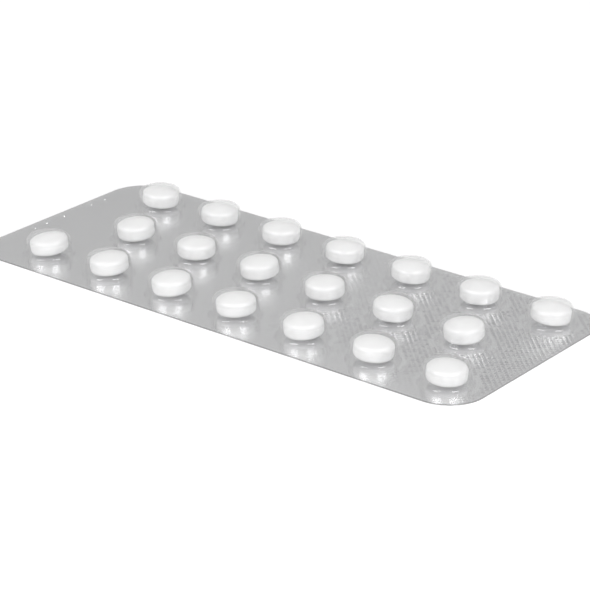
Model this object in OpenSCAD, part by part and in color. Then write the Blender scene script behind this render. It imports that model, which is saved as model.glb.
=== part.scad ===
// Tablet blister pack: a clear thermoformed film with a pocket for each tablet, closed from
// below by a flat aluminium foil. Three staggered rows, the middle one with a tablet less.
// The pack lies flat, foil down, with the origin under the middle of the card.
// +X runs along the rows, +Y from the front row to the back row, and +Z out of the pockets.

/* [Layout] */
// Distance between neighbouring tablets in a row
pitch = 14; // [12:0.5:24]
// Distance between rows
row_pitch = 14.5; // [11:0.5:24]
// Tablets in the front row and in the back row
long_row = 7; // [2:1:9]

/* [Card] */
// From the last row to the card's long edge
side_margin = 7.5; // [6:0.5:20]
// From the last tablet to the plain short edge
end_margin = 7.5; // [6:0.5:20]
// From the first tablet to the short edge that has room for a batch code
code_margin = 12; // [6:0.5:30]
// Radius of the card's corners
corner_r = 6.5; // [1:0.5:10]

/* [Sheets] */
// Thickness of the lidding foil
foil_t = 0.03; // [0.02:0.01:0.2]
// Thickness of the forming film where it lies on the foil
film_t = 0.25; // [0.15:0.05:0.5]
// Thickness of the film drawn out over the pockets
pocket_t = 0.16; // [0.08:0.02:0.4]

/* [Tablet] */
// Diameter of a tablet
tablet_d = 6.5; // [4:0.1:8]
// Height of the tablet's straight band
band_h = 2; // [1:0.1:4]
// Height of each domed face above the band
cup_h = 0.8; // [0.5:0.05:1.1]
// Radius of the coated edge between band and dome
edge_r = 0.65; // [0.2:0.05:0.8]

/* [Pocket] */
// Room between the tablet's band and the pocket's wall
side_gap = 0.4; // [0.3:0.05:1.5]
// Room between the tablet's upper face and the pocket's crown
top_gap = 0.3; // [0.25:0.05:1.5]
// Slope of the pocket's wall, from upright
draft = 6; // [2:0.5:12]
// Inside radius of the round shoulder between wall and crown
shoulder_r = 1; // [0.5:0.1:1.5]
// Inside radius of the domed crown
crown_r = 9; // [7:0.5:30]
// Outside radius of the bend where a pocket rises from the sheet
bend_r = 0.6; // [0.2:0.05:0.8]

/* [Rest] */
// Gap between a tablet's lower face and the foil
seat_gap = 0.05; // [0.02:0.01:0.2]
// Share of the room to lean in its pocket that the most tipped tablet takes
lean_share = 0.9; // [0:0.05:0.9]
// Which way the tablets lean, in degrees from the rows' direction
lean_way = 40; // [0:5:355]
// How far the tablets have slid from the middle of their pockets
slide = 0.12; // [0:0.02:0.2]
// Which way they have slid, in degrees from the rows' direction
slide_way = 30; // [0:5:355]

/* [Hidden] */
$fn = 96;
ROWS = ["front", "middle", "back"];
SEATS = [for (row = [0:2]) for (i = [0:row_count(row) - 1]) [row, i]];

card_l = code_margin + (long_row - 1) * pitch + end_margin;
card_w = 2 * (row_pitch + side_margin);
sheet_z = foil_t + film_t;

tablet_r = tablet_d / 2;
tablet_h = band_h + 2 * cup_h;
dome_r = (tablet_r * tablet_r + cup_h * cup_h) / (2 * cup_h);

// Inside of a pocket: the wall clears the band at the band's top, the crown clears the dome
band_top = foil_t + seat_gap + cup_h + band_h;
pocket_r = tablet_r + side_gap + (band_top - foil_t) * tan(draft);
crown_z = foil_t + seat_gap + tablet_h + top_gap;
crown_c = [0, crown_z - crown_r];

// The shoulder's centre lies shoulder_r inside the wall and crown_r - shoulder_r from the
// crown's centre, so that its arc runs smoothly into both
reach = pocket_r - shoulder_r / cos(draft) - (crown_c[1] - foil_t) * tan(draft);
rise = (reach * tan(draft) + sqrt(pow((crown_r - shoulder_r) / cos(draft), 2) - pow(reach, 2)))
       * pow(cos(draft), 2);
shoulder_c = crown_c + [reach - rise * tan(draft), rise];

// A bend meets its sheet at this small angle, a crease too fine to see
crease = 8;
// Each pocket's section reaches this far past the face of the sheet, so that it cuts or joins
overlap = film_t / 2;

function row_count(row) = row == 1 ? long_row - 1 : long_row;
function seat_x(s) = code_margin - card_l / 2 + (s[1] + (s[0] == 1 ? 0.5 : 0)) * pitch;
function seat_y(s) = (s[0] - 1) * row_pitch;
function tablet_name(s) = str("tablet_", ROWS[s[0]], "_", s[1] + 1);
function wall_x(z, grow) = pocket_r + grow / cos(draft) - (z - foil_t) * tan(draft);

// Half section of a tablet's upper half: the edge's centre, and the dome's centre on the axis
edge_x = tablet_r - edge_r;
dome_z = tablet_h / 2 - dome_r;
edge_z = dome_z + sqrt(pow(dome_r - edge_r, 2) - pow(edge_x, 2));

// A tablet leans until its raised edge meets the crown over it, and rolls no further than
// half way along its dome
ceiling_z = crown_c[1] + sqrt(pow(crown_r, 2) - pow(edge_x + slide, 2));
edge_top = foil_t + seat_gap + tablet_h / 2 + edge_z + edge_r;
roll = asin(edge_x / (dome_r - edge_r)) / 2;
most_lean = min(asin((ceiling_z - edge_top - seat_gap) / edge_x), roll);

// How each tablet of a row leans, in tenths of the most tipped one: above 0 its side towards
// lean_way lies low, and below 0 the other side. Each leans a little to one side of that way
LEANS = [[-10, -7, -7, -4, -6, 6, 4], [-7, 0, -7, -1, 6, -6], [6, 5, 3, 5, 7, 2, 10]];
way_spread = 20;
spread_turn = 137.5;
function nth(s) = s[0] * long_row + s[1] + 1;
function tenths(s) = LEANS[s[0]][s[1] % len(LEANS[s[0]])];
function lean_of(s) = lean_share * most_lean * tenths(s) / 10;
function way_of(s) = lean_way + way_spread * cos(spread_turn * nth(s));
// A leaning tablet stands on its lower dome, so its middle rises a little
function middle_z(lean) = foil_t + seat_gap + dome_r - (dome_r - tablet_h / 2) * cos(lean);

module card_outline() {
    square([card_l - 2 * corner_r, card_w], center = true);
    square([card_l, card_w - 2 * corner_r], center = true);
    for (x = [-1, 1], y = [-1, 1])
        translate([x * (card_l / 2 - corner_r), y * (card_w / 2 - corner_r)]) circle(corner_r);
}

// Half section of a domed top above its shoulder's centre: a round shoulder, then the dome
module domed_top(round_c, round_r, dome_c, dome_r) {
    up = (round_c - dome_c) / norm(round_c - dome_c);
    translate(round_c) circle(round_r);
    intersection() {
        translate(dome_c) circle(dome_r);
        polygon([[0, round_c[1]], round_c, round_c + 2 * round_r * up, [0, dome_c[1] + 2 * dome_r]]);
    }
}

// Half section of a pocket: grow is the film's thickness for its outside and 0 for its inside,
// sheet is the face of the film that it rises from, and foot_r the radius of the bend there
module pocket_section(grow, sheet, foot_r) {
    out = [cos(draft), sin(draft)];
    foot_z = sheet + foot_r * cos(crease);
    foot_c = [wall_x(foot_z, grow) + foot_r / cos(draft), foot_z];
    foot_top = foot_c - foot_r * out;
    low = sheet - overlap;

    polygon([[0, low], [wall_x(sheet, grow), low], [wall_x(sheet, grow), sheet],
             shoulder_c + (shoulder_r + grow) * out, shoulder_c, [0, shoulder_c[1]]]);
    domed_top(shoulder_c, shoulder_r + grow, crown_c, crown_r + grow);
    difference() {
        polygon([[foot_top[0] - foot_r, low], foot_top - [foot_r, 0], foot_top, foot_c,
                 [foot_c[0], low]]);
        translate(foot_c) circle(foot_r);
    }
}

// Half section of a tablet about its own middle, alike above and below
module tablet_section() {
    translate([0, -edge_z]) square([tablet_r, 2 * edge_z]);
    for (side = [0, 1]) mirror([0, side]) domed_top([edge_x, edge_z], edge_r, [0, dome_z], dome_r);
}

module at_seats()
    for (s = SEATS) translate([seat_x(s), seat_y(s), 0]) children();

module forming_film() {
    color("whitesmoke", 0.4)
    difference() {
        union() {
            translate([0, 0, foil_t]) linear_extrude(film_t) card_outline();
            at_seats() rotate_extrude() pocket_section(pocket_t, sheet_z, bend_r);
        }
        at_seats() rotate_extrude() pocket_section(0, foil_t, bend_r + film_t);
    }
}

module lidding_foil() {
    color("silver") linear_extrude(foil_t) card_outline();
}

module tablet(s) {
    lean = lean_of(s);
    slid = slide * [cos(slide_way), sin(slide_way)];
    color("white")
    translate([seat_x(s) + slid[0], seat_y(s) + slid[1], middle_z(lean)])
    rotate([0, 0, way_of(s)]) rotate([0, lean, 0])
    rotate_extrude() tablet_section();
}

forming_film();
lidding_foil();
for (s = SEATS) tablet(s);
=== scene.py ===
"""Looks of a tablet blister pack: clear forming film, knurled lidding foil and coated tablets."""

import logging
import math
import random
from collections.abc import Callable, Iterable, Sequence
from dataclasses import dataclass, field
from enum import Enum

import bpy
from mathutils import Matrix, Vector
from mathutils.geometry import delaunay_2d_cdt


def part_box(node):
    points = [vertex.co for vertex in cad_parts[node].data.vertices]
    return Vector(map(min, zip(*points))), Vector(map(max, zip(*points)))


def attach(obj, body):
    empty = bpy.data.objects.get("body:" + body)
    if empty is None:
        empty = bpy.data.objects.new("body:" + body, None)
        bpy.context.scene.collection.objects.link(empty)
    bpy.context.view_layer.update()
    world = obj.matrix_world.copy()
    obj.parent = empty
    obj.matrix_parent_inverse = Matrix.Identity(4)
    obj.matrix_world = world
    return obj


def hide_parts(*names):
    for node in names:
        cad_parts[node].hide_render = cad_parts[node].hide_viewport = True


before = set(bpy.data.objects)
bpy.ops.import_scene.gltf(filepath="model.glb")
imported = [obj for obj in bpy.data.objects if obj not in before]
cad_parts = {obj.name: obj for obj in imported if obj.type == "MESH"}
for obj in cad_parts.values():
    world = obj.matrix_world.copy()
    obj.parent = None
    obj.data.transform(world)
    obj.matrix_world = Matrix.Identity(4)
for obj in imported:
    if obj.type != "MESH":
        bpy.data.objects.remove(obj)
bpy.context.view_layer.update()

MM = 0.001
MICRON = 0.001  # of a millimetre
WELD = 0.0005  # millimetres within which two corners are one
NEAR = 1e-6  # millimetres within which a plan's points are one

Point = tuple[float, float]
Corner = tuple[float, float, float]
Face = tuple[int, ...]
Colour = tuple[float, float, float, float]

WHITE: Colour = (1, 1, 1, 1)

log = logging.getLogger("blister_pack")


class Node(Enum):
    """CAD nodes that this script names."""

    FILM = "forming_film"
    FOIL = "lidding_foil"
    TABLET = "tablet_"


class Slot(Enum):
    """Material slots of the record."""

    FILM = "clear_film"
    FOIL = "foil"
    COAT = "tablet_coat"


class Rays(Enum):
    """Light Path outputs of the rays that show the background."""

    CAMERA = "Is Camera Ray"
    GLOSSY = "Is Glossy Ray"
    TRANSMISSION = "Is Transmission Ray"


# Flat sheets, built in millimetres


@dataclass
class SheetPlan:
    """Points and creases in the card's plane, from which a sheet's face is cut.

    Attributes:
        points: Place of each point, in millimetres.
        lifts: How far each point stands off the face, in the measure that the piece reads it in.
        creases: Pairs of points that an edge must join.
    """

    points: list[Vector] = field(default_factory=list)
    lifts: list[float] = field(default_factory=list)
    creases: list[tuple[int, int]] = field(default_factory=list)

    def point(self, place: Point, lift: float = 0.0) -> int:
        """Adds a point.

        Args:
            place: Where it lies.
            lift: How far it stands off the face.

        Returns:
            Its number.
        """
        self.points.append(Vector(place))
        self.lifts.append(lift)
        return len(self.points) - 1

    def loop(self, ring: Sequence[Point], lift: float = 0.0) -> None:
        """Adds a closed ring of points with a crease from each to the next.

        Args:
            ring: The points, in order.
            lift: How far they stand off the face.
        """
        first = len(self.points)
        for place in ring:
            self.point(place, lift)
        count = len(ring)
        self.creases += [(first + i, first + (i + 1) % count) for i in range(count)]

    def cut(self, keep: Callable[[float, float], bool]) -> tuple[list[Corner], list[Face]]:
        """Fills the plan with triangles.

        Args:
            keep: Says whether the material covers a place.

        Returns:
            Corners as x, y and lift, and the triangles between them, facing up.
        """
        places, _, faces, sources, _, _ = delaunay_2d_cdt(self.points, self.creases, [], 0, NEAR)
        lift = [self.lifts[source[0]] if source else 0.0 for source in sources]
        corners = [(p.x, p.y, h) for p, h in zip(places, lift)]
        kept = []
        for face in faces:
            x = sum(places[i].x for i in face) / len(face)
            y = sum(places[i].y for i in face) / len(face)
            if keep(x, y):
                kept.append(tuple(face))
        return corners, kept


@dataclass
class Shell:
    """Faces gathered for one closed mesh, in millimetres.

    Attributes:
        corners: Corner places.
        faces: Corner numbers of each face.
        slots: Material slot of each face.
    """

    corners: list[Corner] = field(default_factory=list)
    faces: list[Face] = field(default_factory=list)
    slots: list[int] = field(default_factory=list)

    def add(self, corners: Iterable[Corner], faces: Iterable[Sequence[int]], slot: int = 0,
            flip: bool = False) -> None:
        """Adds faces with corners of their own.

        Args:
            corners: Their places.
            faces: Their corner numbers, counted among these corners.
            slot: Their material slot.
            flip: Whether they face the other way.
        """
        first = len(self.corners)
        self.corners += list(corners)
        for face in faces:
            ring = [first + i for i in face]
            self.faces.append(tuple(reversed(ring)) if flip else tuple(ring))
            self.slots.append(slot)

    def wall(self, ring: Sequence[Point], low: float, high: float, slot: int = 0) -> None:
        """Adds an upright wall along a closed outline, facing out.

        Args:
            ring: The outline, anticlockwise from above.
            low: Height of its foot.
            high: Height of its top.
            slot: Its material slot.
        """
        count = len(ring)
        corners = [(x, y, low) for x, y in ring] + [(x, y, high) for x, y in ring]
        faces = [(i, (i + 1) % count, count + (i + 1) % count, count + i) for i in range(count)]
        self.add(corners, faces, slot)

    def lathe(self, profile: Sequence[Point], centre: Point, segments: int,
              flip: bool = False) -> None:
        """Adds a profile turned round an upright axis.

        Args:
            profile: Radius and height of each point, from the foot to the crown, on the axis.
            centre: Where the axis stands.
            segments: How many steps the turn has.
            flip: Whether the surface faces inward.
        """
        corners, faces = [], []
        for radius, height in profile[:-1]:
            for ring_point in circle(centre, radius, segments):
                corners.append((*ring_point, height))
        apex = len(corners)
        corners.append((*centre, profile[-1][1]))
        for ring in range(len(profile) - 1):
            for i in range(segments):
                a, b = ring * segments + i, ring * segments + (i + 1) % segments
                if ring == len(profile) - 2:
                    faces.append((a, b, apex))
                else:
                    faces.append((a, b, b + segments, a + segments))
        self.add(corners, faces, flip=flip)

    def build(self, name: str, sharp_angle: float | None = None) -> bpy.types.Object:
        """Makes the object, with corners that meet welded.

        Args:
            name: Its name.
            sharp_angle: Angle in degrees past which an edge stays sharp, or None for flat faces.

        Returns:
            The new object.
        """
        number: dict[tuple[int, int, int], int] = {}
        places, merged = [], []
        for corner in self.corners:
            key = tuple(round(value / WELD) for value in corner)
            if key not in number:
                number[key] = len(places)
                places.append(tuple(value * MM for value in corner))
            merged.append(number[key])
        mesh = bpy.data.meshes.new(name)
        mesh.from_pydata(places, [], [[merged[i] for i in face] for face in self.faces])
        mesh.polygons.foreach_set("material_index", self.slots)
        smooth = sharp_angle is not None
        mesh.polygons.foreach_set("use_smooth", [smooth] * len(self.faces))
        if smooth:
            mesh.set_sharp_from_angle(angle=math.radians(sharp_angle))
        mesh.update()
        thing = bpy.data.objects.new(name, mesh)
        bpy.context.scene.collection.objects.link(thing)
        return thing


def circle(centre: Point, radius: float, segments: int) -> list[Point]:
    """Points round a circle, anticlockwise.

    Args:
        centre: Its centre.
        radius: Its radius.
        segments: How many points it has.

    Returns:
        The points.
    """
    return [(centre[0] + radius * math.cos(math.tau * i / segments),
             centre[1] + radius * math.sin(math.tau * i / segments)) for i in range(segments)]


def arc(centre: Point, radius: float, start: float, end: float, steps: int) -> list[Point]:
    """Points along an arc, its ends included.

    Args:
        centre: Its centre.
        radius: Its radius.
        start: Angle of its first point, in degrees.
        end: Angle of its last point, in degrees.
        steps: How many parts it is cut into.

    Returns:
        The points.
    """
    turns = [math.radians(start + (end - start) * i / steps) for i in range(steps + 1)]
    return [(centre[0] + radius * math.cos(t), centre[1] + radius * math.sin(t)) for t in turns]


def eased(share: float) -> float:
    """Share from 0 to 1 that starts and ends gently."""
    share = min(max(share, 0.0), 1.0)
    return share * share * (3 - 2 * share)


# The card, read from the frame


@dataclass(frozen=True)
class Card:
    """The card's outline and its pockets' places, in millimetres.

    Attributes:
        half_length: Half its length along the rows.
        half_width: Half its width.
        corner_radius: Radius of its corners.
        foil_top: Height of the foil's upper face.
        crown_top: Height of the pockets' tops.
        pockets: Centre of each pocket.
        tablet_middle: Height of a level tablet's middle.
        corner_steps: How many parts a corner's arc has.
    """

    half_length: float
    half_width: float
    corner_radius: float
    foil_top: float
    crown_top: float
    pockets: tuple[Point, ...]
    tablet_middle: float = 1.88
    corner_steps: int = 24

    @classmethod
    def from_frame(cls, corner_radius: float = 6.5) -> "Card":
        """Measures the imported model.

        Args:
            corner_radius: Radius of the card's corners.

        Returns:
            The card.
        """
        low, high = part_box(Node.FOIL.value)
        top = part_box(Node.FILM.value)[1].z
        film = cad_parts[Node.FILM.value].data.vertices
        upper = [v.co / MM for v in film if v.co.z > top / 2]
        pockets = []
        for name in tablet_names():
            box_low, box_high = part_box(name)
            middle = (box_low + box_high) / 2 / MM
            reach = (box_high.x - box_low.x) / MM
            near = [p for p in upper if (p.xy - middle.xy).length < reach]
            xs, ys = [p.x for p in near], [p.y for p in near]
            pockets.append(((min(xs) + max(xs)) / 2, (min(ys) + max(ys)) / 2))
        return cls(high.x / MM, high.y / MM, corner_radius, high.z / MM, top / MM, tuple(pockets))

    def outline(self) -> list[Point]:
        """Draws the card's outline.

        Returns:
            Its points, anticlockwise.
        """
        x, y = self.half_length - self.corner_radius, self.half_width - self.corner_radius
        corners = (((x, -y), -90), ((x, y), 0), ((-x, y), 90), ((-x, -y), 180))
        ring = []
        for centre, start in corners:
            ring += arc(centre, self.corner_radius, start, start + 90, self.corner_steps)
        return ring

    def inset(self, x: float, y: float) -> float:
        """How far a place lies inside the card's edge.

        Args:
            x: Place along the rows.
            y: Place across them.

        Returns:
            The distance, negative outside.
        """
        over_x = abs(x) - self.half_length + self.corner_radius
        over_y = abs(y) - self.half_width + self.corner_radius
        outside = math.hypot(max(over_x, 0.0), max(over_y, 0.0))
        return self.corner_radius - outside - min(max(over_x, over_y), 0.0)

    def from_pocket(self, x: float, y: float) -> float:
        """Distance from a place to the nearest pocket's axis."""
        return min(math.hypot(x - px, y - py) for px, py in self.pockets)

    def middle(self) -> Vector:
        """The middle of the tablets, in metres."""
        xs = [x for x, _ in self.pockets]
        return Vector(((min(xs) + max(xs)) / 2, 0, self.tablet_middle)) * MM


def tablet_names() -> list[str]:
    """Names of the tablets' CAD nodes."""
    return sorted(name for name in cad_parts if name.startswith(Node.TABLET.value))


# Marks pressed into the wide margin


@dataclass(frozen=True)
class TallyMarks:
    """Short plain ridges with round ends, pressed up along the card's wide margin, in millimetres.

    Attributes:
        inset: From the card's short edge to the marks' middles.
        places: Where each mark lies across the card.
        length: Length of a mark.
        width: Width of a mark.
        height: How far a mark stands up.
        tiers: How far in each step of its side lies, as a share of half its width, and how high
            that step stands, as a share of the height. The first is the flat collar round it.
        end_steps: How many parts each round end has.
    """

    inset: float = 1.5
    places: tuple[float, ...] = (-7.2, -4.2, 0.2, 7.4, 11.0)
    length: float = 1.3
    width: float = 0.7
    height: float = 0.2
    tiers: tuple[Point, ...] = ((-0.3, 0.0), (0.0, 0.0), (0.3, 0.62), (0.68, 0.95))
    end_steps: int = 6

    def press(self, plan: SheetPlan, card: Card, height: float) -> None:
        """Draws the marks into a sheet's plan.

        Args:
            plan: The plan of the face.
            card: The card that they are on.
            height: How far their tops stand off the face.
        """
        x = -card.half_length + self.inset
        half = (self.length - self.width) / 2
        for y in self.places:
            for inward, share in self.tiers:
                radius = self.width / 2 * (1 - inward)
                right = arc((x + half, y), radius, -90, 90, self.end_steps)
                left = arc((x - half, y), radius, 90, 270, self.end_steps)
                plan.loop(right + left, share * height)


# The pieces


@dataclass(frozen=True)
class PocketForm:
    """Half section of a thermoformed pocket, in millimetres.

    Attributes:
        radius: Inside radius where the wall meets the foil.
        draft: Slope of the wall from upright, in degrees.
        shoulder_radius: Inside radius of the shoulder.
        crown_radius: Inside radius of the crown.
        wall: Thickness of the drawn film.
        sheet: Thickness of the film round the pocket.
        bend: Outside radius of the bend at the foot.
        crease: Angle at which the bend meets the sheet, in degrees.
        collar: Width of the flat ring kept round the bend.
        bend_steps: How many parts the bend's arc has.
        shoulder_steps: The same for the shoulder.
        crown_steps: The same for the crown.
    """

    radius: float = 3.95
    draft: float = 6.0
    shoulder_radius: float = 1.0
    crown_radius: float = 9.0
    wall: float = 0.16
    sheet: float = 0.25
    bend: float = 0.6
    crease: float = 8.0
    collar: float = 0.12
    bend_steps: int = 9
    shoulder_steps: int = 9
    crown_steps: int = 6

    def profile(self, card: Card, outside: bool) -> list[Point]:
        """Points of one face of the pocket.

        Args:
            card: The card that it rises from.
            outside: Whether it is the outer face.

        Returns:
            Radius and height from the collar's rim to the crown's top.
        """
        grow = self.wall if outside else 0.0
        face = card.foil_top + (self.sheet if outside else 0.0)
        bend = self.bend if outside else self.bend + self.sheet
        slope = math.tan(math.radians(self.draft))
        lean = math.cos(math.radians(self.draft))
        crown_z = card.crown_top - self.wall - self.crown_radius
        reach = self.radius - self.shoulder_radius / lean - (crown_z - card.foil_top) * slope
        span = (self.crown_radius - self.shoulder_radius) / lean
        rise = (reach * slope + math.sqrt(span**2 - reach**2)) * lean**2
        shoulder = (reach - rise * slope, crown_z + rise)
        crown_angle = math.degrees(math.atan2(rise, shoulder[0]))
        foot_z = face + bend * math.cos(math.radians(self.crease))
        foot_x = self.radius + (grow + bend) / lean - (foot_z - card.foil_top) * slope
        foot = arc((foot_x, foot_z), bend, 270 - self.crease, 180 + self.draft, self.bend_steps)
        round_top = arc(shoulder, self.shoulder_radius + grow, self.draft, crown_angle,
                        self.shoulder_steps)
        crown = arc((0.0, crown_z), self.crown_radius + grow, crown_angle, 90, self.crown_steps)
        foot[0] = (foot[0][0], face)
        return [(foot[0][0] + self.collar, face), *foot, *round_top, *crown[1:]]


@dataclass
class FormingFilm:
    """The clear film with its twenty pockets.

    Attributes:
        card: The card that it covers.
        pocket: Section of its pockets.
        marks: Marks pressed into its margin.
        bond: How far its underside reaches into the foil that it is sealed to, in millimetres.
        segments: Steps round a pocket.
        sharp_angle: Angle in degrees past which an edge isn't shaded smooth.
    """

    card: Card
    pocket: PocketForm = PocketForm()
    marks: TallyMarks = TallyMarks()
    bond: float = 4 * MICRON
    segments: int = 80
    sharp_angle: float = 40.0

    def build(self) -> bpy.types.Object:
        """Builds the film as one closed shell.

        Returns:
            The film's object, its cut edge in slot 1.
        """
        shell = Shell()
        under = self.card.foil_top - self.bond
        over = self.card.foil_top + self.pocket.sheet
        outer = self.pocket.profile(self.card, True)
        inner = self.pocket.profile(self.card, False)
        inner = [(inner[0][0], under), (inner[1][0], under), *inner[1:]]
        self._flange(shell, outer[0][0], over, False)
        self._flange(shell, inner[0][0], under, True)
        shell.wall(self.card.outline(), under, over, 1)
        for centre in self.card.pockets:
            shell.lathe(outer, centre, self.segments)
            shell.lathe(inner, centre, self.segments, flip=True)
        return shell.build("clear_forming_film", self.sharp_angle)

    def _flange(self, shell: Shell, hole: float, height: float, down: bool) -> None:
        """Adds one face of the flat film between the pockets.

        Args:
            shell: The shell that it is added to.
            hole: Radius of the hole at each pocket.
            height: Height of the face.
            down: Whether it faces down.
        """
        card = self.card
        plan = SheetPlan()
        plan.loop(card.outline())
        for centre in card.pockets:
            plan.loop(circle(centre, hole, self.segments))
        if not down:
            self.marks.press(plan, card, self.marks.height)
        rim = hole * math.cos(math.pi / self.segments)
        corners, faces = plan.cut(lambda x, y: card.inset(x, y) > 0 and card.from_pocket(x, y) > rim)
        shell.add([(x, y, height + lift) for x, y, lift in corners], faces, flip=down)


@dataclass
class LiddingFoil:
    """The foil with the seal plate's knurl pressed into it, in millimetres.

    Attributes:
        card: The card that it closes.
        marks: Marks pressed into its margin.
        pitch: Distance between the knurl's lines.
        depth: Height of its pyramids on the upper face, at full pressure.
        depth_below: The same on the underside.
        light_share: Share of that depth where the plate pressed lightly.
        light_x: Where the light pressure starts to rise, along the rows.
        full_x: Where it is full.
        fade_width: Over how much of the card's width the pressure rises from its front edge.
        edge_margin: Least distance from a pyramid to the card's edge or a pocket's ring of points.
        ring: Radius of the smooth ring round each pocket.
        ring_fade: How far past that ring the pressure rises.
        unevenness: How much a pyramid's depth strays, as a share of it.
        seed: Seed of that.
        pocket_segments: How many steps that ring has.
    """

    card: Card
    marks: TallyMarks = TallyMarks()
    pitch: float = 0.8
    depth: float = 100 * MICRON
    depth_below: float = 20 * MICRON
    light_share: float = 0.08
    light_x: float = -8.0
    full_x: float = 28.0
    fade_width: float = 12.0
    edge_margin: float = 0.12
    ring: float = 4.85
    ring_fade: float = 0.6
    unevenness: float = 0.4
    seed: int = 7
    pocket_segments: int = 64

    def pressure(self, x: float, y: float) -> float:
        """Share of the full depth at a place.

        Args:
            x: Place along the rows.
            y: Place across them.

        Returns:
            The share.
        """
        along = eased((x - self.light_x) / (self.full_x - self.light_x))
        across = eased((y + self.card.half_width) / self.fade_width)
        beside = eased((self.card.from_pocket(x, y) - self.ring) / self.ring_fade)
        return (self.light_share + (1 - self.light_share) * along * across) * beside

    def _sealed(self, x: float, y: float) -> bool:
        """Says whether the plate presses on a place.

        Args:
            x: Place along the rows.
            y: Place across them.

        Returns:
            Whether it does.
        """
        strip = -self.card.half_length + self.marks.inset + self.marks.length
        beside_marks = x < strip and abs(y) < self.card.half_width - self.card.corner_radius
        clear = self.card.inset(x, y) > self.edge_margin and self.card.from_pocket(x, y) > self.ring
        return clear and not beside_marks

    def _knurl(self, plan: SheetPlan) -> None:
        """Draws the diamond knurl's pyramids into the plan.

        Args:
            plan: The plan, whose points off the face are the pyramids' tips.
        """
        step = self.pitch * math.sqrt(0.5)
        span = math.ceil((self.card.half_length + self.card.half_width) / (2 * step))
        number: dict[tuple[int, int], int] = {}
        stray = random.Random(self.seed)

        def place(i: float, j: float) -> Point:
            """Where the lines i and j of the two sets cross."""
            return (i + j) * step, (i - j) * step

        for i in range(-span, span):
            for j in range(-span, span):
                cell = [(i, j), (i + 1, j), (i + 1, j + 1), (i, j + 1)]
                if not all(self._sealed(*place(*corner)) for corner in cell):
                    continue
                for corner in cell:
                    if corner not in number:
                        number[corner] = plan.point(place(*corner))
                ring = [number[corner] for corner in cell]
                plan.creases += [(ring[k], ring[(k + 1) % 4]) for k in range(4)]
                tip = place(i + 0.5, j + 0.5)
                share = 1 + self.unevenness * stray.uniform(-1, 1)
                plan.point(tip, self.pressure(*tip) * share)

    def build(self) -> bpy.types.Object:
        """Builds the foil as one closed sheet.

        Returns:
            The foil's object.
        """
        plan = SheetPlan()
        plan.loop(self.card.outline())
        for centre in self.card.pockets:
            plan.loop(circle(centre, self.ring - self.edge_margin, self.pocket_segments))
        self.marks.press(plan, self.card, -1.0)
        self._knurl(plan)
        corners, faces = plan.cut(lambda x, y: self.card.inset(x, y) > 0)
        top = self.card.foil_top
        over = [(x, y, top + self._rise(lift, self.depth)) for x, y, lift in corners]
        under = [(x, y, self._rise(lift, self.depth_below)) for x, y, lift in corners]
        shell = Shell()
        shell.add(over, faces)
        shell.add(under, faces, flip=True)
        shell.wall(self.card.outline(), 0.0, top)
        return shell.build("knurled_lidding_foil")

    def _rise(self, lift: float, depth: float) -> float:
        """Height of a point over its face.

        Args:
            lift: Its share of the knurl's depth, or below 0 its share of a mark's height.
            depth: The knurl's depth on that face.

        Returns:
            The height.
        """
        return -lift * self.marks.height if lift < 0 else lift * depth


# Finishes


def grey(shade: float) -> Colour:
    """A plain grey as a socket takes it."""
    return shade, shade, shade, 1


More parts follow.
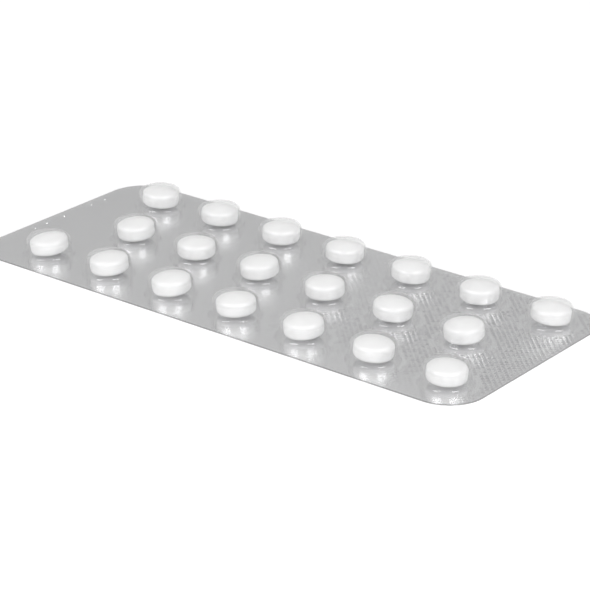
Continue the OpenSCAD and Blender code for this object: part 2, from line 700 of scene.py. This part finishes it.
class Wiring:
    """Adds and joins the nodes of one material."""

    def __init__(self, name: str) -> None:
        """Starts a material with an empty node tree.

        Args:
            name: Its name.
        """
        self.material = bpy.data.materials.new(name)
        self.material.use_nodes = True
        self.tree = self.material.node_tree
        self.tree.nodes.clear()
        self.output = self.tree.nodes.new("ShaderNodeOutputMaterial")

    def add(self, kind: str, **inputs: object) -> bpy.types.Node:
        """Adds a node and sets or joins its inputs.

        Args:
            kind: The node's type, without its ShaderNode prefix.
            inputs: Value or source socket of each input, by its name with spaces as underscores.

        Returns:
            The node.
        """
        node = self.tree.nodes.new("ShaderNode" + kind)
        for name, value in inputs.items():
            socket = node.inputs[name.replace("_", " ")]
            if isinstance(value, bpy.types.NodeSocket):
                self.tree.links.new(value, socket)
            else:
                socket.default_value = value
        return node

    def math(self, operation: str, first: object, second: object = 0.0) -> bpy.types.NodeSocket:
        """Adds a Math node.

        Args:
            operation: Its operation.
            first: Its first value or source.
            second: Its second value or source.

        Returns:
            Its result.
        """
        node = self.tree.nodes.new("ShaderNodeMath")
        node.operation = operation
        for socket, value in zip(node.inputs, (first, second)):
            if isinstance(value, bpy.types.NodeSocket):
                self.tree.links.new(value, socket)
            else:
                socket.default_value = value
        return node.outputs[0]

    def noise(self, grain: float, detail: float = 2.0,
              stretch: Sequence[float] = (1, 1, 1)) -> bpy.types.NodeSocket:
        """Adds noise in the object's own space.

        Args:
            grain: Size of its grain, in millimetres.
            detail: Its octaves.
            stretch: How much finer it is along each axis.

        Returns:
            Its value from 0 to 1.
        """
        place = self.add("TexCoord").outputs["Object"]
        scaled = self.add("Mapping", Vector=place, Scale=tuple(stretch)).outputs["Vector"]
        node = self.add("TexNoise", Vector=scaled, Scale=1 / (grain * MM), Detail=detail)
        return node.outputs["Fac"]

    def height(self) -> bpy.types.NodeSocket:
        """Adds the height over the floor, in metres."""
        return self.add("SeparateXYZ", Vector=self.add("TexCoord").outputs["Object"]).outputs["Z"]

    def between(self, share: bpy.types.NodeSocket, low: float, high: float) -> bpy.types.NodeSocket:
        """Spreads a share over a range.

        Args:
            share: The share, from 0 to 1.
            low: What 0 gives.
            high: What 1 gives.

        Returns:
            The value.
        """
        return self.add("MapRange", Value=share, To_Min=low, To_Max=high).outputs["Result"]

    def share(self, value: bpy.types.NodeSocket, start: float, end: float) -> bpy.types.NodeSocket:
        """Tells how far a value lies between two others.

        Args:
            value: The value.
            start: What gives 0.
            end: What gives 1.

        Returns:
            The share, from 0 to 1.
        """
        return self.add("MapRange", Value=value, From_Min=start, From_Max=end).outputs["Result"]

    def tint(self, share: bpy.types.NodeSocket, first: Colour, second: Colour) -> bpy.types.NodeSocket:
        """Mixes two colours.

        Args:
            share: Share of the second.
            first: The first colour.
            second: The second colour.

        Returns:
            Their mix.
        """
        node = self.add("Mix")
        node.data_type = "RGBA"
        factor, colours = node.inputs[0], node.inputs[6:8]
        self.tree.links.new(share, factor)
        for socket, colour in zip(colours, (first, second)):
            socket.default_value = colour
        return node.outputs[2]

    def bump(self, height: bpy.types.NodeSocket, depth: float,
             normal: bpy.types.NodeSocket | None = None) -> bpy.types.NodeSocket:
        """Adds a bump.

        Args:
            height: Its height, from 0 to 1.
            depth: How deep that is, in millimetres.
            normal: A bump that it lies on.

        Returns:
            The normal.
        """
        node = self.add("Bump", Height=height, Distance=depth * MM, Strength=1.0)
        if normal is not None:
            self.tree.links.new(normal, node.inputs["Normal"])
        return node.outputs["Normal"]

    def mix(self, share: bpy.types.NodeSocket | float, first: bpy.types.Node,
            second: bpy.types.Node) -> bpy.types.Node:
        """Mixes two shaders.

        Args:
            share: Share of the second.
            first: The first shader.
            second: The second shader.

        Returns:
            Their mix.
        """
        node = self.tree.nodes.new("ShaderNodeMixShader")
        if isinstance(share, bpy.types.NodeSocket):
            self.tree.links.new(share, node.inputs[0])
        else:
            node.inputs[0].default_value = share
        self.tree.links.new(first.outputs[0], node.inputs[1])
        self.tree.links.new(second.outputs[0], node.inputs[2])
        return node

    def finish(self, shader: bpy.types.Node) -> bpy.types.Material:
        """Joins a shader to the output and hands over the material."""
        self.tree.links.new(shader.outputs[0], self.output.inputs["Surface"])
        return self.material


@dataclass(frozen=True)
class ClearFilm:
    """Clear glossy film, thin enough not to bend what shows through it.

    Attributes:
        clearness: Share of the light that each face lets through head on.
        head_on: Share that each face mirrors head on.
        edge_on: The same, seen edge on.
        gloss: Roughness of its face in the flat film and where it is drawn out most.
        haze: Share of milky scatter in the flat film and where it is drawn out most.
        drawn: Heights between which haze and roughness rise, in millimetres.
        ripple: Grain of its soft ripple, in millimetres.
        ripple_depth: Depth of the ripple, in millimetres.
        falloff: Power by which the mirrored share rises as the view grazes.
        scatter_through: Share of the scattered light that leaves on the far side.
    """

    clearness: float = 0.97
    head_on: float = 0.045
    edge_on: float = 0.28
    gloss: tuple[float, float] = (0.07, 0.42)
    haze: tuple[float, float] = (0.02, 0.14)
    drawn: tuple[float, float] = (1.2, 3.7)
    ripple: float = 9.0
    ripple_depth: float = 0.01
    falloff: float = 5.0
    scatter_through: float = 0.5

    def material(self) -> bpy.types.Material:
        """Mixes a clear and a mirroring shader by the angle at which the face is met.

        Returns:
            The material.
        """
        wiring = Wiring("clear_film")
        normal = wiring.bump(wiring.noise(self.ripple), self.ripple_depth)
        facing = wiring.add("LayerWeight", Blend=0.5, Normal=normal).outputs["Facing"]
        grazing = wiring.math("POWER", facing, self.falloff)
        mirrored = wiring.between(grazing, self.head_on, self.edge_on)
        drawn = wiring.share(wiring.height(), self.drawn[0] * MM, self.drawn[1] * MM)
        milky = wiring.between(drawn, *self.haze)
        satin = wiring.between(drawn, *self.gloss)
        clear = wiring.add("BsdfTransparent", Color=grey(self.clearness))
        lit = wiring.add("BsdfDiffuse", Color=WHITE)
        through = wiring.add("BsdfTranslucent", Color=WHITE)
        scatter = wiring.mix(self.scatter_through, lit, through)
        gloss = wiring.add("BsdfAnisotropic", Color=WHITE, Roughness=satin, Normal=normal)
        return wiring.finish(wiring.mix(mirrored, wiring.mix(milky, clear, scatter), gloss))


@dataclass(frozen=True)
class CutEdge:
    """The film's cut edge, painted dark grey for the shade that a clear film's edge shows, streaked
    along the blade's marks.

    Attributes:
        shade: Its painted dark grey, which stands in for the shade that the clear edge shows.
        cover: Share of it that the grey covers, from outside. The rest shows what is behind.
        roughness: Its roughness.
        unevenness: How much the grey strays, as a share of it.
        grain: Grain of the blade's streaks, in millimetres.
        streak: How much finer they are upright.
        depth: Their depth, in millimetres.
    """

    shade: float = 0.2
    cover: float = 0.6
    roughness: float = 0.35
    unevenness: float = 0.15
    grain: float = 0.35
    streak: float = 4.0
    depth: float = 0.01

    def material(self) -> bpy.types.Material:
        """Makes the material.

        Returns:
            The material.
        """
        wiring = Wiring("film_cut_edge")
        grain = wiring.noise(self.grain, stretch=(1, 1, self.streak))
        # The edge's dark grey is painted shade, standing in for how dark a clear film's cut edge
        # looks, varied along the blade's streaks.
        dark = grey(self.shade * (1 - self.unevenness))
        pale = grey(self.shade * (1 + self.unevenness))
        normal = wiring.bump(grain, self.depth)
        inside = wiring.add("NewGeometry").outputs["Backfacing"]
        painted_edge_shade = wiring.add("BsdfPrincipled", Base_Color=wiring.tint(grain, dark, pale),
                             Roughness=self.roughness, Normal=normal)
        clear = wiring.add("BsdfTransparent", Color=WHITE)
        return wiring.finish(wiring.mix(wiring.between(inside, self.cover, 0.0), clear, painted_edge_shade))


@dataclass(frozen=True)
class SatinFoil:
    """Rolled aluminium foil under a clear seal lacquer.

    Attributes:
        colour: Colour of the metal.
        roughness: Roughness where the rolls polished it most and least.
        cloud: Size of the patches between the two, in millimetres.
        roll_grain: Grain of the roll marks across the rolling direction, in millimetres.
        roll_stretch: The same grain's fineness along that direction, as a share.
        roll_depth: Their depth, in millimetres.
    """

    colour: tuple[float, float, float] = (0.85, 0.85, 0.8585)
    roughness: tuple[float, float] = (0.21, 0.26)
    cloud: float = 5.0
    roll_grain: float = 0.5
    roll_stretch: float = 0.04
    roll_depth: float = 0.0015

    def material(self) -> bpy.types.Material:
        """Makes the material.

        Returns:
            The material.
        """
        wiring = Wiring("satin_foil")
        marks = wiring.noise(self.roll_grain, stretch=(self.roll_stretch, 1, 1))
        rough = wiring.between(wiring.noise(self.cloud), *self.roughness)
        normal = wiring.bump(marks, self.roll_depth)
        shader = wiring.add("BsdfPrincipled", Base_Color=(*self.colour, 1), Metallic=1.0,
                            Roughness=rough, Normal=normal)
        return wiring.finish(shader)


@dataclass(frozen=True)
class TabletCoat:
    """White film coat of a pressed tablet.

    Attributes:
        colour: Its grey.
        cast: How dark and how pale its patches are, as shares of that.
        roughness: Roughness of its smoothest and its roughest patches.
        patch: Size of the patches, in millimetres.
        grain: Grain of its fine orange peel, in millimetres.
        detail: Octaves of that.
        depth: Depth of that, in millimetres.
        softness: Share of the light that scatters below the coat.
        reach: How far it scatters, in millimetres.
    """

    colour: float = 0.93
    cast: tuple[float, float] = (0.985, 1.01)
    roughness: tuple[float, float] = (0.62, 0.74)
    patch: float = 1.8
    grain: float = 0.35
    detail: float = 3.0
    depth: float = 0.004
    softness: float = 1.0
    reach: float = 2.0

    def material(self) -> bpy.types.Material:
        """Makes the material.

        Returns:
            The material.
        """
        wiring = Wiring("tablet_coat")
        peel = wiring.noise(self.grain, self.detail)
        patch = wiring.noise(self.patch)
        rough = wiring.between(patch, *self.roughness)
        dark, pale = (grey(self.colour * share) for share in self.cast)
        shader = wiring.add("BsdfPrincipled", Base_Color=wiring.tint(patch, dark, pale),
                            Roughness=rough, Normal=wiring.bump(peel, self.depth),
                            Subsurface_Weight=self.softness, Subsurface_Radius=(1, 1, 1),
                            Subsurface_Scale=self.reach * MM)
        return wiring.finish(shader)


@dataclass(frozen=True)
class StudioFloor:
    """Plain white floor that shows white and keeps a soft shadow.

    Attributes:
        shade: Its grey under the studio's light.
        glow: What is added for the rays that show the background.
    """

    shade: float = 0.8
    glow: float = 0.3

    def material(self) -> bpy.types.Material:
        """Makes the material.

        Returns:
            The material.
        """
        wiring = Wiring("studio_floor")
        path = wiring.add("LightPath")
        seen = wiring.math("MAXIMUM", path.outputs[Rays.CAMERA.value], path.outputs[Rays.GLOSSY.value])
        seen = wiring.math("MAXIMUM", seen, path.outputs[Rays.TRANSMISSION.value])
        strength = wiring.math("MULTIPLY", seen, self.glow)
        glow = wiring.add("Emission", Color=WHITE, Strength=strength)
        paint = wiring.add("BsdfDiffuse", Color=grey(self.shade))
        both = wiring.tree.nodes.new("ShaderNodeAddShader")
        wiring.tree.links.new(paint.outputs[0], both.inputs[0])
        wiring.tree.links.new(glow.outputs[0], both.inputs[1])
        return wiring.finish(both)


# The studio


@dataclass(frozen=True)
class SoftBox:
    """A soft lamp that faces the pack.

    Attributes:
        swing: Its bearing from the camera's, in degrees, to the right.
        elevation: How high it stands, in degrees.
        brightness: Its radiance, where 1 is white.
        width: Its width, in metres.
        height: Its height, in metres.
        distance: From the pack, in metres.
    """

    swing: float
    elevation: float
    brightness: float
    width: float = 0.8
    height: float = 0.5
    distance: float = 1.5

    def place(self, name: str, azimuth: float, target: Vector) -> None:
        """Adds the lamp.

        Args:
            name: Its name.
            azimuth: The camera's azimuth, in degrees.
            target: What it faces.
        """
        lamp = bpy.data.lights.new(name, "AREA")
        lamp.shape = "RECTANGLE"
        lamp.size, lamp.size_y = self.width, self.height
        lamp.energy = math.pi * self.width * self.height * self.brightness
        holder = bpy.data.objects.new(name, lamp)
        way = direction(azimuth + self.swing, self.elevation)
        holder.location = target + way * self.distance
        holder.rotation_euler = way.to_track_quat("Z", "Y").to_euler()
        bpy.context.scene.collection.objects.link(holder)


@dataclass
class Studio:
    """Floor, light and camera.

    Attributes:
        target: What the camera was pointed near: the pockets' middle, in metres.
        azimuth: The camera's azimuth, in degrees.
        elevation: Its height over the floor, in degrees.
        distance: From the target, in metres.
        aside: How far the camera stands to its right of the target, in metres.
        raised: How far above, across its own view, in metres.
        lens: Focal length, in millimetres on the sensor.
        sensor: The sensor's width, in millimetres.
        nearest: Least distance that the camera shows, in metres.
        floor_size: The floor's side, in metres.
        room: Height over the floor's level, as a sine, and radiance there, from the backdrop up.
        boxes: The soft lamps.
    """

    target: Vector
    azimuth: float = 38.6
    elevation: float = 23.2
    distance: float = 0.4098
    aside: float = 0.00064
    raised: float = -0.00297
    lens: float = 149.74
    sensor: float = 36.0
    nearest: float = 0.01
    floor_size: float = 6.0
    room: tuple[Point, ...] = ((0.06, 1.0), (0.14, 0.46), (0.33, 0.45), (0.48, 0.75), (0.85, 0.42))
    boxes: tuple[SoftBox, ...] = (
        SoftBox(-47, 42, 6.6),
        SoftBox(42, 42, 6.6),
        SoftBox(0, 8, 0.8, width=1.4, height=1.0),
    )

    def build(self) -> None:
        """Sets up the floor, the light and the camera."""
        self._floor()
        self._room()
        for number, box in enumerate(self.boxes, 1):
            box.place(f"soft_box_{number}", self.azimuth, self.target)
        self._camera()
        bpy.context.scene.view_settings.view_transform = "Standard"

    def _floor(self) -> None:
        """Adds the floor."""
        half = self.floor_size / 2
        mesh = bpy.data.meshes.new("floor")
        corners = [(-half, -half, 0), (half, -half, 0), (half, half, 0), (-half, half, 0)]
        mesh.from_pydata(corners, [], [(0, 1, 2, 3)])
        floor = bpy.data.objects.new("floor", mesh)
        floor.data.materials.append(StudioFloor().material())
        bpy.context.scene.collection.objects.link(floor)

    def _room(self) -> None:
        """Lights the room: plain walls behind a backdrop that the camera sees white."""
        world = bpy.data.worlds.new("studio_room")
        world.use_nodes = True
        tree = world.node_tree
        tree.nodes.clear()
        place = tree.nodes.new("ShaderNodeTexCoord")
        split = tree.nodes.new("ShaderNodeSeparateXYZ")
        ramp = tree.nodes.new("ShaderNodeValToRGB")
        light = tree.nodes.new("ShaderNodeBackground")
        white = tree.nodes.new("ShaderNodeBackground")
        white.inputs["Color"].default_value = WHITE
        path = tree.nodes.new("ShaderNodeLightPath")
        both = tree.nodes.new("ShaderNodeMixShader")
        output = tree.nodes.new("ShaderNodeOutputWorld")
        stops = ramp.color_ramp.elements
        stops[1].position = 1.0
        for number, (height, radiance) in enumerate(self.room):
            stop = stops[0] if number == 0 else stops.new(height)
            stop.position = height
            stop.color = grey(radiance)
        stops[-1].color = stops[-2].color
        tree.links.new(place.outputs["Generated"], split.inputs[0])
        tree.links.new(split.outputs["Z"], ramp.inputs["Fac"])
        tree.links.new(ramp.outputs["Color"], light.inputs["Color"])
        tree.links.new(path.outputs[Rays.CAMERA.value], both.inputs[0])
        tree.links.new(light.outputs[0], both.inputs[1])
        tree.links.new(white.outputs[0], both.inputs[2])
        tree.links.new(both.outputs[0], output.inputs["Surface"])
        bpy.context.scene.world = world

    def _camera(self) -> None:
        """Adds the camera at the photograph's place."""
        camera = bpy.data.cameras.new("camera")
        camera.lens = self.lens
        camera.sensor_width = self.sensor
        camera.clip_start = self.nearest
        holder = bpy.data.objects.new("camera", camera)
        back = direction(self.azimuth, self.elevation)
        turn = back.to_track_quat("Z", "Y")
        right, up = turn @ Vector((1, 0, 0)), turn @ Vector((0, 1, 0))
        holder.location = self.target + right * self.aside + up * self.raised + back * self.distance
        holder.rotation_euler = turn.to_euler()
        bpy.context.scene.collection.objects.link(holder)
        bpy.context.scene.camera = holder


def direction(azimuth: float, elevation: float) -> Vector:
    """Unit vector towards a place round the pack.

    Args:
        azimuth: Its bearing in degrees, 0 in front of the front row.
        elevation: Its height, in degrees.

    Returns:
        The vector.
    """
    turn, rise = math.radians(azimuth), math.radians(elevation)
    return Vector((math.sin(turn) * math.cos(rise), -math.cos(turn) * math.cos(rise), math.sin(rise)))


def dress(piece: bpy.types.Object, slot: Slot, *finishes: bpy.types.Material) -> None:
    """Gives a new piece its finishes and ties it to the pack's body.

    Args:
        piece: The piece.
        slot: The record's slot that matches it; not used.
        finishes: Its materials, one for each of its slots.
    """
    for finish in finishes:
        piece.data.materials.append(finish)
    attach(piece, "root")
    log.info("%s: %d faces", piece.name, len(piece.data.polygons))


def main() -> None:
    """Builds the pack's pieces, dresses them and sets up the studio."""
    logging.basicConfig(level=logging.INFO, format="%(name)s: %(message)s")
    card = Card.from_frame()

    film = FormingFilm(card).build()
    dress(film, Slot.FILM, ClearFilm().material(), CutEdge().material())
    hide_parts(Node.FILM.value)

    foil = LiddingFoil(card).build()
    dress(foil, Slot.FOIL, SatinFoil().material())
    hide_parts(Node.FOIL.value)

    coat = TabletCoat().material()
    for name in tablet_names():
        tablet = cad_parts[name]
        tablet.material_slots[0].material = coat
        log.info("%s: film coat", name)

    Studio(card.middle()).build()


if __name__ == "__main__":
    main()
